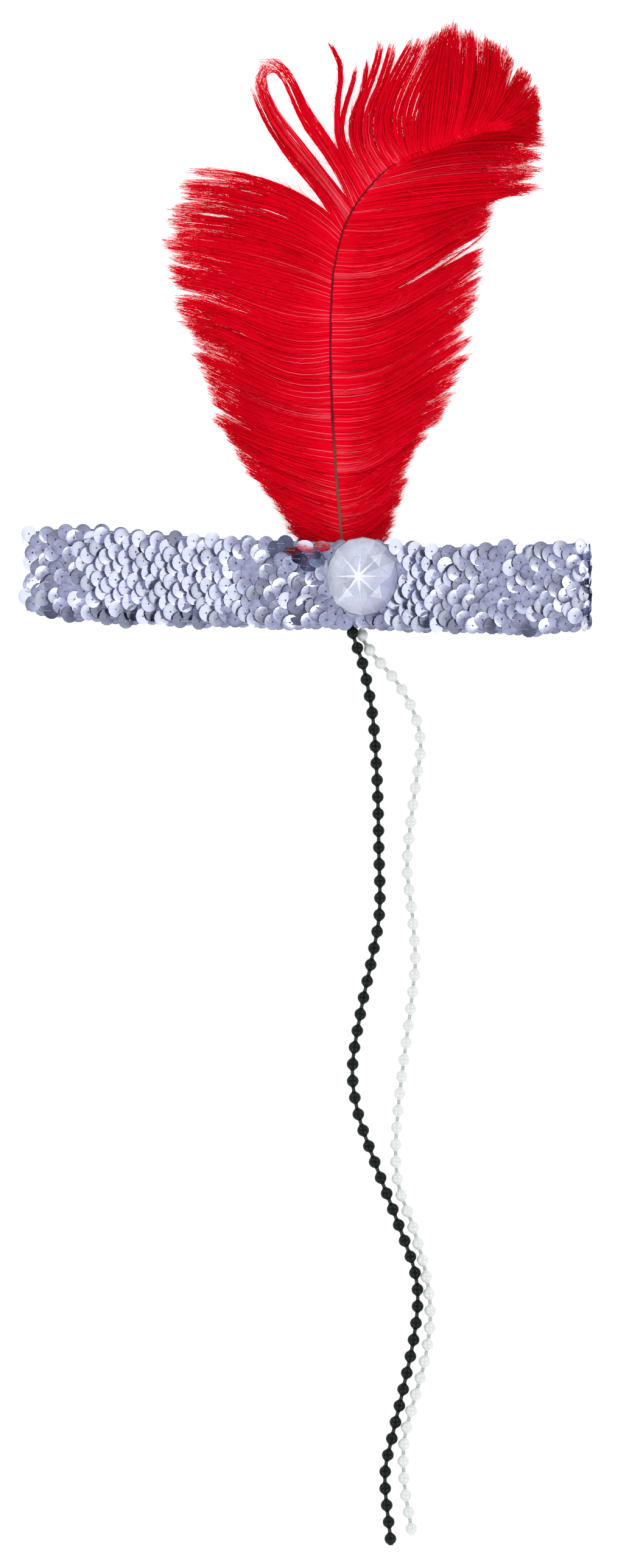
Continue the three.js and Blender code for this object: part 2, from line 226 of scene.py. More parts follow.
# Fingers of the open fan on the left: mm along the shaft where each starts, half width, and line
FINGERS = [
    (154.0, 3.2, [(8.5, 157.0), (-2.0, 170.5), (-14.0, 186.0), (-19.5, 196.5), (-23.5, 207.0)]),
    (159.5, 2.8, [
        (9.0, 162.0), (-2.0, 175.5), (-12.5, 189.0), (-18.5, 200.5),
        (-20.0, 208.5), (-16.0, 212.8), (-11.0, 211.0),
    ]),
    (164.5, 3.2, [
        (15.0, 167.0), (7.5, 178.5), (-0.5, 190.0), (-5.5, 200.0),
        (-9.5, 207.5), (-15.5, 212.8), (-21.0, 210.5),
    ]),
    (171.0, 1.2, [(15.5, 173.5), (12.5, 183.0), (12.2, 195.0), (12.8, 211.5), (6.8, 223.3)]),
    (173.5, 1.3, [(17.0, 173.5), (13.8, 181.5), (14.8, 193.0), (18.0, 205.3), (20.5, 216.0)]),
    (176.0, 1.4, [(19.5, 177.0), (18.0, 188.0), (22.0, 200.0), (23.0, 208.3), (25.3, 219.0)]),
    (179.0, 1.6, [(22.0, 176.5), (21.0, 190.0), (25.0, 203.3), (28.5, 216.0), (30.0, 224.5)]),
    (182.5, 2.2, [(25.5, 177.5), (25.0, 190.5), (29.5, 202.0), (31.8, 210.8), (35.5, 224.0)]),
    (187.5, 1.8, [(30.0, 179.0), (29.0, 188.8), (32.3, 200.5), (37.3, 212.3), (44.0, 224.5)]),
    (191.0, 1.8, [(33.5, 180.0), (32.0, 188.0), (35.5, 200.0), (41.0, 211.8), (47.0, 225.3)]),
    (194.5, 2.2, [(37.5, 181.0), (36.5, 189.5), (40.5, 201.3), (46.0, 215.0), (51.3, 227.5)]),
    (197.5, 2.0, [(41.0, 182.5), (40.5, 191.0), (44.5, 203.0), (50.0, 216.0), (55.0, 226.5)]),
    (199.5, 2.6, [(43.0, 183.5), (44.0, 191.5), (48.5, 203.5), (54.0, 216.5), (59.5, 227.0)]),
]
FINGERS_END = 201.5
# Gaps between the barbs: side, mm along the shaft, first and last share of a barb's length, and
# half width. The barbs on both sides give way, up to a reach in mm
PARTING_REACH = 5.0
PARTINGS = [
    ("left", 149.8, 0.53, 0.73, 0.8),
    ("left", 146.0, 0.38, 0.54, 0.7),
    ("left", 141.8, 0.63, 0.88, 0.8),
    ("left", 125.0, 0.74, 0.94, 1.0),
    ("left", 114.8, 0.57, 0.78, 1.0),
    ("left", 107.0, 0.72, 0.94, 1.1),
    ("left", 103.8, 0.52, 0.72, 0.9),
    ("right", 124.6, 0.34, 1.05, 1.5),
    ("right", 111.2, 0.78, 1.02, 1.2),
    ("right", 102.0, 0.74, 0.95, 1.2),
]

# Bead strings: laid in loose waves, with the height of a bead's centre on the floor. A place on
# the route is x and y, and z where the string isn't on the floor yet
BEAD_LIE = 2.5
BeadString = namedtuple("BeadString", "pitch first_bead route")
BLACK_STRING = BeadString(
    pitch=6.92,
    first_bead=8.9,
    route=[
        (17.8, -12.4, 7.95), (18.1, -16.5, 7.6), (18.3, -21.2, 6.9), (20.2, -27.4, 4.7),
        (22.4, -34.0), (26.3, -54.0), (28.3, -81.3), (29.0, -108.8), (29.2, -136.8), (25.8, -156.8),
        (21.5, -177.3), (18.2, -201.3), (20.5, -218.3), (27.0, -237.5), (36.8, -263.3), (43.6, -282.8),
        (45.0, -293.8), (43.6, -309.3), (39.5, -329.5), (34.8, -350.0), (31.6, -366.3), (33.8, -393.4),
    ],
)
WHITE_STRING = BeadString(
    pitch=7.01,
    first_bead=11.2,
    route=[
        (21.7, -12.4, 7.95), (21.9, -15.6, 7.0), (22.1, -18.8, 4.4),
        (22.3, -22.9), (25.4, -28.4), (37.5, -43.0), (44.0, -55.5), (46.2, -66.8), (44.2, -83.5),
        (41.5, -104.5), (40.7, -117.8), (43.0, -139.3), (44.0, -156.3), (42.2, -174.3), (39.5, -195.0),
        (37.0, -216.3), (36.0, -236.5), (37.4, -249.0), (43.0, -264.8), (48.6, -285.5), (50.2, -301.3),
        (48.0, -319.5), (44.2, -333.8), (39.6, -352.3), (39.4, -368.5), (42.8, -391.4),
    ],
)

# Stage: the place on the floor in the middle of the picture, and the four soft lights in metres
VIEW_MIDDLE = (0.375, -83.25)
SOFTBOX_HEIGHT = 1.45
SOFTBOX_SIZE = 1.0
SOFTBOX_WATTS = 14.0


# Sizes and colours


def length(name, description, millimetres):
    """A property for a length, in metres."""
    return FloatProperty(
        name=name, description=description, default=millimetres * MM, min=0.0, precision=5,
        subtype="DISTANCE", unit="LENGTH",
    )


def colour(name, description, red, green, blue):
    """A property for a linear colour."""
    return FloatVectorProperty(
        name=name, description=description, default=(red, green, blue), min=0.0, max=1.0,
        size=3, subtype="COLOR",
    )


class HeadbandBand(bpy.types.PropertyGroup):
    """The stretch band and its sequins."""

    rows: IntProperty(name="Sequin rows", description="Rows across the band", default=6, min=2)
    pitch: length("Sequin pitch", "From one sequin to the next along a row", 3.75)
    sequin: length("Sequin diameter", "Over the rim of one sequin", 6.9)
    dish: length("Sequin dish", "How far a sequin's rim stands over its flat middle", 0.18)
    zigzag: length("Zigzag", "How far every second sequin stands off the row", 1.4)
    net: length("Net thickness", "Of the elastic net under the sequins", 0.6)
    overlap: FloatProperty(
        name="Back tilt", description="How steeply the sequins lie on each other on the back wall",
        default=math.radians(6.5), subtype="ANGLE", unit="ROTATION",
    )
    silver: colour("Silver", "Of the sequins", 0.86, 0.88, 0.98)
    net_colour: colour("Net", "Of the elastic net", 0.38, 0.40, 0.58)
    thread: colour("Stitching", "Of the thread through the sequins", 0.55, 0.56, 0.66)


class HeadbandStone(bpy.types.PropertyGroup):
    """The cut stone."""

    across: length("Width", "Along the band", 29.4)
    tall: length("Length", "Across the band", 32.5)
    ray: length("Ray length", "Of the star seen through the table", 10.0)
    foil: colour("Foil", "Of the mirrored back", 0.92, 0.95, 1.0)
    glass: colour("Stone", "Of the clear crown", 0.96, 0.97, 1.0)
    # Colour of the painted shade on the crown's facets that face right, and of a random smoky tint on others
    smoke_and_shade: colour("Smoke", "Of the crown's facets on the right", 0.48, 0.48, 0.68)


class HeadbandPlume(bpy.types.PropertyGroup):
    """The ostrich plume."""

    barbs: IntProperty(name="Barbs a side", description="On each side of the shaft", default=118, min=20)
    strands: IntProperty(
        name="Strands a barb", description="Fine strands that make up one barb", default=30, min=3
    )
    down: IntProperty(name="Hairs a side", description="Fine hairs on one side's barbs", default=45000, min=0)
    hair: length("Hair length", "Of the longest hairs on a barb", 9.0)
    deep: colour("Deep red", "In the depth of the vane", 0.74, 0.000, 0.005)
    scarlet: colour("Scarlet", "Of most of the vane", 0.955, 0.0005, 0.018)
    # Light red: the stems' paler colour, lifted by painted highlight near the shaft, and the lighter ends of
    # the hairs
    light: colour("Light red", "Of the barbs' own stems and worn ends", 0.98, 0.12, 0.16)
    quill: colour("Quill", "Of the bare shaft near the band", 0.21, 0.08, 0.045)
    maroon: colour("Maroon", "Of the shaft under the barbs", 0.20, 0.004, 0.012)


class HeadbandBeads(bpy.types.PropertyGroup):
    """The two bead strings."""

    diameter: length("Bead diameter", "Of one round bead", 5.0)
    thread: length("Thread diameter", "Between the beads", 1.7)
    jet: colour("Jet", "Of the black string", 0.004, 0.007, 0.005)
    pearl: colour("Pearl", "Of the white string", 0.68, 0.695, 0.62)


class HeadbandStage(bpy.types.PropertyGroup):
    """The floor, lights and camera."""

    height: FloatProperty(
        name="Camera height", description="Over the floor", default=5.0, subtype="DISTANCE", unit="LENGTH"
    )
    view: length("View height", "How much of the floor the picture's tall side takes in", 644.0)
    floor: colour("Floor", "Of the plain floor", 0.30, 0.30, 0.30)
    ceiling: colour("Ceiling", "Of the room above, seen in the sequins", 0.325, 0.335, 0.465)
    walls: colour("Walls", "Of the bright room round the floor", 0.88, 0.90, 1.0)


# Shapes and places


Shape = namedtuple("Shape", "points faces")


def shape_of(bm):
    """The points and triangles of a small shape, which is then copied many times."""
    bmesh.ops.triangulate(bm, faces=bm.faces[:])
    bm.verts.index_update()
    points = np.array([v.co for v in bm.verts])
    faces = np.array([[v.index for v in f.verts] for f in bm.faces])
    bm.free()
    return Shape(points, faces)


def tube_shape(sides, rings):
    """A closed tube of radius 1, with a ring at each whole number of its height."""
    bm = bmesh.new()
    bmesh.ops.create_circle(bm, cap_ends=True, segments=sides, radius=1)
    top = bm.faces[:]
    for ring in range(1, rings):
        new = bmesh.ops.extrude_face_region(bm, geom=top)["geom"]
        if ring > 1:
            bmesh.ops.delete(bm, geom=top, context="FACES_ONLY")
        top = [f for f in new if isinstance(f, bmesh.types.BMFace)]
        bmesh.ops.translate(bm, verts=[v for v in new if isinstance(v, bmesh.types.BMVert)], vec=(0, 0, 1))
    bmesh.ops.recalc_face_normals(bm, faces=bm.faces[:])
    return shape_of(bm)


def spike_shape():
    """A slim three-sided spike from 0 to 1 along Z, of radius 1 at its foot."""
    bm = bmesh.new()
    bmesh.ops.create_cone(bm, cap_ends=True, segments=3, radius1=1, radius2=0, depth=1)
    bmesh.ops.translate(bm, verts=bm.verts[:], vec=(0, 0, 0.5))
    bmesh.ops.remove_doubles(bm, verts=bm.verts[:], dist=1e-6)
    bmesh.ops.recalc_face_normals(bm, faces=bm.faces[:])
    return shape_of(bm)


def spun_shape(profile, sides):
    """A closed ring of a profile's corners, given as radius and height, round the Z axis."""
    bm = bmesh.new()
    corners = [bm.verts.new((radius, 0, height)) for radius, height in profile]
    edges = [bm.edges.new((a, b)) for a, b in zip(corners, corners[1:] + corners[:1])]
    bmesh.ops.spin(
        bm, geom=corners + edges, cent=(0, 0, 0), axis=(0, 0, 1), angle=2 * math.pi, steps=sides,
        use_merge=True,
    )
    bmesh.ops.remove_doubles(bm, verts=bm.verts[:], dist=1e-5)
    bmesh.ops.recalc_face_normals(bm, faces=bm.faces[:])
    return shape_of(bm)


def unit(vectors):
    return vectors / np.maximum(np.linalg.norm(vectors, axis=-1, keepdims=True), 1e-9)


def along_lines(shape, lines, radii):
    """Copies of a tube bent along lines: lines are (copy, ring, xyz) and radii (copy, ring)."""
    heading = unit(np.gradient(lines, axis=1))
    across = unit(np.cross(heading, UP))
    over = np.cross(heading, across)
    ring = np.rint(shape.points[:, 2]).astype(int)
    x, y = shape.points[:, 0, None], shape.points[:, 1, None]
    return lines[:, ring] + radii[:, ring, None] * (x * across[:, ring] + y * over[:, ring])


def spikes(shape, feet, tips, radius):
    """Copies of a spike from foot to tip."""
    heading = unit(tips - feet)
    across = unit(np.cross(heading, UP + 0.01))
    over = np.cross(heading, across)
    x, y, z = (shape.points[:, i, None] for i in range(3))
    stem = feet[:, None] + z * (tips - feet)[:, None]
    return stem + radius[:, None, None] * (x * across[:, None] + y * over[:, None])


def along(lines, which, share):
    """Points at shares of the way along some of the lines, given as (line, point, xyz)."""
    place = np.clip(share, 0, 0.9999) * (lines.shape[1] - 1)
    low = place.astype(int)
    part = (place - low)[..., None]
    return lines[which, low] * (1 - part) + lines[which, low + 1] * part


def new_mesh(name, points, faces):
    """A mesh from points in millimetres and triangles."""
    mesh = bpy.data.meshes.new(name)
    mesh.vertices.add(len(points))
    mesh.vertices.foreach_set("co", (points * MM).astype(np.float32).ravel())
    mesh.loops.add(faces.size)
    mesh.loops.foreach_set("vertex_index", faces.astype(np.int32).ravel())
    mesh.polygons.add(len(faces))
    mesh.polygons.foreach_set("loop_start", np.arange(0, faces.size, 3, dtype=np.int32))
    mesh.update(calc_edges=True)
    mesh.validate()
    return mesh


def joined(shape, placed):
    """The points and triangles of all copies of a shape, given their points (copy, point, xyz)."""
    start = np.arange(len(placed)) * len(shape.points)
    return placed.reshape(-1, 3), (shape.faces[None] + start[:, None, None]).reshape(-1, 3)


def set_tone(mesh, values):
    """A number at each point, which the material reads."""
    tone = mesh.attributes.new("tone", "FLOAT", "POINT")
    tone.data.foreach_set("value", np.clip(values, 0, 1).astype(np.float32).ravel())


def show(mesh, node, *materials, smooth=True):
    """Puts a finished mesh in the scene, in place of its node."""
    for material in materials:
        mesh.materials.append(material)
    if smooth:
        mesh.shade_smooth()
        mesh.set_sharp_from_angle(angle=math.radians(40))
    piece = bpy.data.objects.new(mesh.name, mesh)
    bpy.context.scene.collection.objects.link(piece)
    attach(piece, "root")
    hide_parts(node)
    return piece


class Route:
    """A smooth line through a few points, read by the distance along it."""

    def __init__(self, points):
        given = np.array(points, float)
        p = np.vstack([2 * given[0] - given[1], given, 2 * given[-1] - given[-2]])
        gap = np.sqrt(np.linalg.norm(np.diff(p, axis=0), axis=1))
        t = np.linspace(0, 1, 50, endpoint=False)[:, None]
        line = []
        for (a, b, c, d), (u, v, w) in zip(zip(p, p[1:], p[2:], p[3:]), zip(gap, gap[1:], gap[2:])):
            leave = ((b - a) / u - (c - a) / (u + v) + (c - b) / v) * v
            arrive = ((c - b) / v - (d - b) / (v + w) + (d - c) / w) * v
            bend = 3 * (c - b) - 2 * leave - arrive
            line.append(b + leave * t + bend * t**2 + (2 * (b - c) + leave + arrive) * t**3)
        self.line = np.vstack(line + [given[-1:]])
        steps = np.linalg.norm(np.diff(self.line, axis=0), axis=1)
        self.travel = np.concatenate([[0], np.cumsum(steps)])
        self.length = self.travel[-1]

    def at(self, distance):
        return np.stack([np.interp(distance, self.travel, self.line[:, i]) for i in range(3)], -1)

    def heading(self, distance):
        return unit(self.at(np.asarray(distance) + 0.2) - self.at(np.asarray(distance) - 0.2))


def front_dip(x):
    return BAND_SAG * (1 - (2 * x / STRAIGHT) ** 2)


def band_lie(x):
    """Drift of the band's middle line and its width, eased between the rows of the table."""
    rows = np.array(BAND_LIE, float)
    after = np.clip(np.searchsorted(rows[:, 0], x, side="right"), 1, len(rows) - 1)
    a, b = rows[after - 1], rows[after]
    share = np.clip((x - a[..., 0]) / (b[..., 0] - a[..., 0]), 0, 1)
    eased = (share * share * (3 - 2 * share))[..., None]
    lie = a + (b - a) * eased
    return lie[..., 1], lie[..., 2]


def loop_place(distance):
    """Middle of the band's wall and its outward normal, at a distance round the loop: along
    the back wall to the right, round the right fold, and back over the front wall."""
    distance = np.asarray(distance) % LOOP_LENGTH
    half = LOOP_LENGTH / 2
    on_front = distance >= half
    travel = np.where(on_front, distance - half, distance)
    turn = np.maximum(0, travel - STRAIGHT) / FOLD_RADIUS
    facing = np.where(on_front, 1.0, -1.0)
    x = -facing * (np.minimum(travel, STRAIGHT) - STRAIGHT / 2 + FOLD_RADIUS * np.sin(turn))
    dip = np.where(on_front & (turn == 0), front_dip(x), 0)
    z = BAND_HEIGHT / 2 + facing * FOLD_RADIUS * np.cos(turn) - dip
    normal = np.stack([-facing * np.sin(turn), np.zeros_like(x), facing * np.cos(turn)], -1)
    return x, z, normal


# Materials


WHITE = (1.0, 1.0, 1.0, 1.0)

def new_material(name, **sockets):
    """A material with one principled shader, and its node tree."""
    material = bpy.data.materials.new(name)
    material.use_nodes = True
    tree = material.node_tree
    shader = tree.nodes["Principled BSDF"]
    for socket, value in sockets.items():
        shader.inputs[socket.replace("_", " ")].default_value = value
    return material, tree, shader


def add_node(tree, kind, inputs=None, **settings):
    node = tree.nodes.new(kind)
    for name, value in settings.items():
        setattr(node, name, value)
    for name, value in (inputs or {}).items():
        if isinstance(value, bpy.types.NodeSocket):
            tree.links.new(value, node.inputs[name])
        else:
            node.inputs[name].default_value = value
    return node


def ramp(tree, value, stops):
    """Colours or greys along a number, given as place and colour."""
    node = tree.nodes.new("ShaderNodeValToRGB")
    tree.links.new(value, node.inputs["Fac"])
    elements = node.color_ramp.elements
    while len(elements) < len(stops):
        elements.new(0.5)
    for element, (place, shade) in zip(elements, stops):
        element.position = place
        element.color = (*shade, 1) if hasattr(shade, "__len__") else (shade, shade, shade, 1)
    return node.outputs["Color"]


def mixed(tree, share, a, b):
    """One colour towards another by a share."""
    node = tree.nodes.new("ShaderNodeMix")
    node.data_type = "RGBA"
    for socket, value in ((node.inputs[0], share), (node.inputs[6], a), (node.inputs[7], b)):
        if isinstance(value, bpy.types.NodeSocket):
            tree.links.new(value, socket)
        elif hasattr(value, "__len__"):
            socket.default_value = (*value, 1)
        else:
            socket.default_value = value
    return node.outputs[2]


def tone_of(tree):
    return add_node(tree, "ShaderNodeAttribute", attribute_name="tone").outputs["Fac"]


def noise(tree, place, scale, detail=2.0):
    inputs = {"Vector": place, "Scale": scale, "Detail": detail}
    return add_node(tree, "ShaderNodeTexNoise", inputs).outputs["Fac"]


def object_place(tree):
    return add_node(tree, "ShaderNodeTexCoord").outputs["Object"]


def bump(tree, shader, height, depth, strength=1.0):
    """Relief from a grey, as deep as given in metres."""
    inputs = {"Height": height, "Distance": depth, "Strength": strength}
    node = add_node(tree, "ShaderNodeBump", inputs)
    tree.links.new(node.outputs["Normal"], shader.inputs["Normal"])


def scaled(shade, share):
    return [share * c for c in shade]


def paint(tree, shader, socket, value, stops):
    """Feeds a shader's socket from a number, by a ramp."""
    tree.links.new(ramp(tree, value, stops), shader.inputs[socket])


def sequin_silver(silver):
    """Mirrored film, a little bluer or greyer from one sequin to the next, with fine wear, and painted shade
    on the rims and on the sequins tucked under their row.
    """
    material, tree, shader = new_material("sequin_silver", Metallic=1.0)
    # Tone 0 is a painted shadow colour, for the sequins tucked under their row; the lower stops also carry
    # the painted shade on the rims.
    shadow = (0.04, 0.05, 0.12)
    shades = [(0.0, shadow), (0.1, scaled(silver, 0.55)), (0.5, scaled(silver, 0.88)), (1.0, silver)]
    paint(tree, shader, "Base Color", tone_of(tree), shades)
    wear = noise(tree, object_place(tree), 900.0, 3.0)
    paint(tree, shader, "Roughness", wear, [(0.3, 0.15), (0.75, 0.30)])
    return material


def elastic_net(shade):
    """Elastic ribs along the loop with cross threads between them."""
    material, tree, shader = new_material("elastic_net", Roughness=0.75, Sheen_Weight=0.25)
    uv = add_node(tree, "ShaderNodeTexCoord").outputs["UV"]
    ribs = add_node(tree, "ShaderNodeTexWave", {"Vector": uv, "Scale": 3.2}, bands_direction="Y")
    cross = add_node(tree, "ShaderNodeTexWave", {"Vector": uv, "Scale": 5.0}, bands_direction="X")
    threads = {0: ribs.outputs["Fac"], 1: cross.outputs["Fac"]}
    weave = add_node(tree, "ShaderNodeMath", threads, operation="MAXIMUM").outputs[0]
    paint(tree, shader, "Base Color", weave, [(0.35, scaled(shade, 0.45)), (0.9, shade)])
    bump(tree, shader, weave, 0.0003)
    return material


def thread_cotton(name, shade):
    """Twisted thread."""
    material, tree, shader = new_material(name, Roughness=0.6)
    twist = noise(tree, object_place(tree), 2600.0, 2.0)
    paint(tree, shader, "Base Color", twist, [(0.35, scaled(shade, 0.6)), (0.65, shade)])
    return material


def clear_stone(shade, smoke_and_shade):
    """Clear moulded stone, with painted shade on the facets that face right and a random smoky tint on
    others, with the faint waviness of a moulded face.
    """
    material, tree, shader = new_material("clear_stone", IOR=1.49, Transmission_Weight=1.0)
    paint(tree, shader, "Base Color", tone_of(tree), [(0.0, shade), (1.0, smoke_and_shade)])
    place = object_place(tree)
    paint(tree, shader, "Roughness", noise(tree, place, 260.0), [(0.3, 0.01), (0.8, 0.06)])
    bump(tree, shader, noise(tree, place, 90.0), 0.0002, 0.05)
    return material


def stone_foil(shade):
    """Silvered back of the stone, seen through it."""
    material, tree, shader = new_material("stone_foil", Metallic=0.2)
    cloud = noise(tree, object_place(tree), 140.0, 3.0)
    dark = scaled(shade, 0.5)
    facets = ramp(tree, tone_of(tree), [(0.0, dark), (1.0, shade)])
    clouded = ramp(tree, cloud, [(0.35, 0.12), (0.65, 0.0)])
    tree.links.new(mixed(tree, clouded, facets, dark), shader.inputs["Base Color"])
    paint(tree, shader, "Roughness", cloud, [(0.3, 0.22), (0.7, 0.38)])
    return material


def glowing_ray_white():
    """The bright moulded rays of the star, with a painted glow: they give off light though they are no lamp.
    """
    # Painted glow: a faint white emission on the rays.
    material, tree, shader = new_material(
        "glowing_ray_white", Roughness=0.35, Emission_Color=WHITE, Emission_Strength=0.2
    )
    cloud = noise(tree, object_place(tree), 300.0)
    paint(tree, shader, "Base Color", cloud, [(0.3, (0.93, 0.94, 0.98)), (0.7, WHITE[:3])])
    return material


def dyed_barb(name, deep, scarlet, light):
    """Dyed feather that lets light through, darker or lighter from hair to hair, with patches
    where dye has pooled."""
    material, tree, shader = new_material(name, Roughness=0.75, Specular_IOR_Level=0.03)
    shades = ramp(tree, tone_of(tree), [(0.0, deep), (0.45, scarlet), (0.72, scarlet), (1.0, light)])
    pooled = ramp(tree, noise(tree, object_place(tree), 38.0, 3.0), [(0.42, 0.0), (0.7, 0.45)])
    dye = mixed(tree, pooled, shades, deep)
    tree.links.new(dye, shader.inputs["Base Color"])
    let_through = add_node(tree, "ShaderNodeBsdfTranslucent", {"Color": dye})
    lights = {0: 0.3, 1: shader.outputs[0], 2: let_through.outputs[0]}
    feather = add_node(tree, "ShaderNodeMixShader", lights)
    tree.links.new(feather.outputs[0], tree.nodes["Material Output"].inputs["Surface"])
    return material


def shaft_horn(quill, maroon):
    """Horny shaft: tan where it is bare, dyed dark higher up, with fine lengthwise streaks."""
    material, tree, shader = new_material("shaft_horn", Roughness=0.5, Specular_IOR_Level=0.06)
    between = [0.5 * (a + b) for a, b in zip(quill, maroon)]
    shades = ramp(tree, tone_of(tree), [(0.2, quill), (0.26, between), (0.32, maroon)])
    place = add_node(tree, "ShaderNodeMapping", {"Vector": object_place(tree), "Scale": (3.0, 0.15, 3.0)})
    streak = ramp(tree, noise(tree, place.outputs["Vector"], 700.0), [(0.35, 0.0), (0.7, 0.5)])
    tree.links.new(mixed(tree, streak, shades, scaled(maroon, 0.5)), shader.inputs["Base Color"])
    return material


def jet_glaze(shade):
    """Polished black bead."""
    material, tree, shader = new_material("jet_glaze", Specular_IOR_Level=0.1)
    cloud = noise(tree, object_place(tree), 420.0, 3.0)
    paint(tree, shader, "Base Color", cloud, [(0.35, shade), (0.75, scaled(shade, 2.2))])
    paint(tree, shader, "Roughness", cloud, [(0.3, 0.10), (0.7, 0.22)])
    return material


def pearl_glaze(shade):
    """Satin white bead with a pearly coat."""
    material, tree, shader = new_material("pearl_glaze", Coat_Weight=0.5, Coat_Roughness=0.12)
    cloud = noise(tree, object_place(tree), 380.0, 3.0)
    shadow = [0.92 * shade[0], 0.93 * shade[1], 0.95 * shade[2]]
    paint(tree, shader, "Base Color", cloud, [(0.35, shadow), (0.7, shade)])
    paint(tree, shader, "Roughness", cloud, [(0.3, 0.24), (0.7, 0.38)])
    return material


def floor_glass(shade):
    """White glass of a light table."""
    material, tree, shader = new_material(
        "floor_glass", Roughness=0.8, Emission_Color=WHITE, Emission_Strength=0.85
    )
    cloud = noise(tree, object_place(tree), 40.0, 4.0)
    paint(tree, shader, "Base Color", cloud, [(0.3, scaled(shade, 0.985)), (0.7, shade)])
    return material


# Pieces


class HEADBAND_OT_stage(bpy.types.Operator):
    """Set the plain floor, the soft lights and the camera straight above"""

    bl_idname = "headband.stage"
    bl_label = "Stage"

    def execute(self, context):
        stage = context.scene.headband_stage
        bm = bmesh.new()
        bmesh.ops.create_grid(bm, x_segments=4, y_segments=4, size=4.0)
        bmesh.ops.translate(bm, verts=bm.verts[:], vec=(0, 0, -0.2 * MM))
        mesh = bpy.data.meshes.new("floor")
        bm.to_mesh(mesh)
        bm.free()
        mesh.materials.append(floor_glass(stage.floor))
        floor = bpy.data.objects.new("floor", mesh)
        context.scene.collection.objects.link(floor)

        world = bpy.data.worlds.new("room")
        context.scene.world = world
        world.use_nodes = True
        tree = world.node_tree
        towards = add_node(tree, "ShaderNodeTexCoord").outputs["Generated"]
        height = add_node(tree, "ShaderNodeSeparateXYZ", {"Vector": towards}).outputs["Z"]
        dark, light = scaled(stage.ceiling, 0.55), scaled(stage.ceiling, 1.5)
        beams = ramp(tree, noise(tree, towards, 6.0), [(0.40, dark), (0.5, stage.ceiling), (0.60, light)])
        room = mixed(tree, ramp(tree, height, [(0.0, 0.0), (0.68, 0.0), (0.80, 1.0)]), stage.walls, beams)
        tree.links.new(room, tree.nodes["Background"].inputs["Color"])
        tree.nodes["Background"].inputs["Strength"].default_value = 1.12

        for side, turn in (("left", -1), ("right", 1)):
            self.softbox("softbox_" + side, (1.5 * turn, 1.3, SOFTBOX_HEIGHT))
            self.softbox("softbox_low_" + side, (1.4 * turn, -1.5, SOFTBOX_HEIGHT))

        lens = bpy.data.cameras.new("camera")
        lens.type = "PERSP"
        lens.sensor_width = 36.0
        lens.lens = lens.sensor_width * stage.height / stage.view
        lens.clip_start = 0.1
        lens.clip_end = 50.0
        camera = bpy.data.objects.new("camera", lens)
        camera.location = (VIEW_MIDDLE[0] * MM, VIEW_MIDDLE[1] * MM, stage.height)
        context.scene.collection.objects.link(camera)
        context.scene.camera = camera
        context.scene.view_settings.view_transform = "Standard"
        return {"FINISHED"}

    def softbox(self, name, place):
        light = bpy.data.lights.new(name, "AREA")
        light.size = SOFTBOX_SIZE
        light.energy = SOFTBOX_WATTS
        lamp = bpy.data.objects.new(name, light)
        lamp.location = place
        lamp.rotation_euler = (-Vector(place)).to_track_quat("-Z", "Y").to_euler()
        lamp.visible_camera = False
        bpy.context.scene.collection.objects.link(lamp)


class HEADBAND_OT_net(bpy.types.Operator):
    """Make the elastic net that the sequins are sewn to"""

    bl_idname = "headband.net"
    bl_label = "Elastic Net"

    def execute(self, context):
        band = context.scene.headband_band
        steps = 252
        bm = bmesh.new()
        bmesh.ops.create_grid(bm, x_segments=steps, y_segments=8, size=0.5)
        uv = bm.loops.layers.uv.new("weave")
        for face in bm.faces:
            for loop in face.loops:
                loop[uv].uv = ((loop.vert.co.x + 0.5) * LOOP_LENGTH / 10, loop.vert.co.y * 3.6)
        for vert in bm.verts:
            x, z, normal = loop_place((vert.co.x + 0.5) * LOOP_LENGTH)
            drift, width = band_lie(x)
            inner = np.array([x, drift + vert.co.y * (width - NET_INSET), z]) - NET_DEPTH * normal
            vert.co = Vector(inner) * MM
        bmesh.ops.remove_doubles(bm, verts=bm.verts[:], dist=0.01 * MM)
        bmesh.ops.recalc_face_normals(bm, faces=bm.faces[:])
        mesh = bpy.data.meshes.new("band_net")
        bm.to_mesh(mesh)
        bm.free()
        net = show(mesh, "sequin_band", elastic_net(band.net_colour))
        wall = net.modifiers.new("wall", "SOLIDIFY")
        wall.thickness = band.net
        wall.offset = 1.0
        return {"FINISHED"}


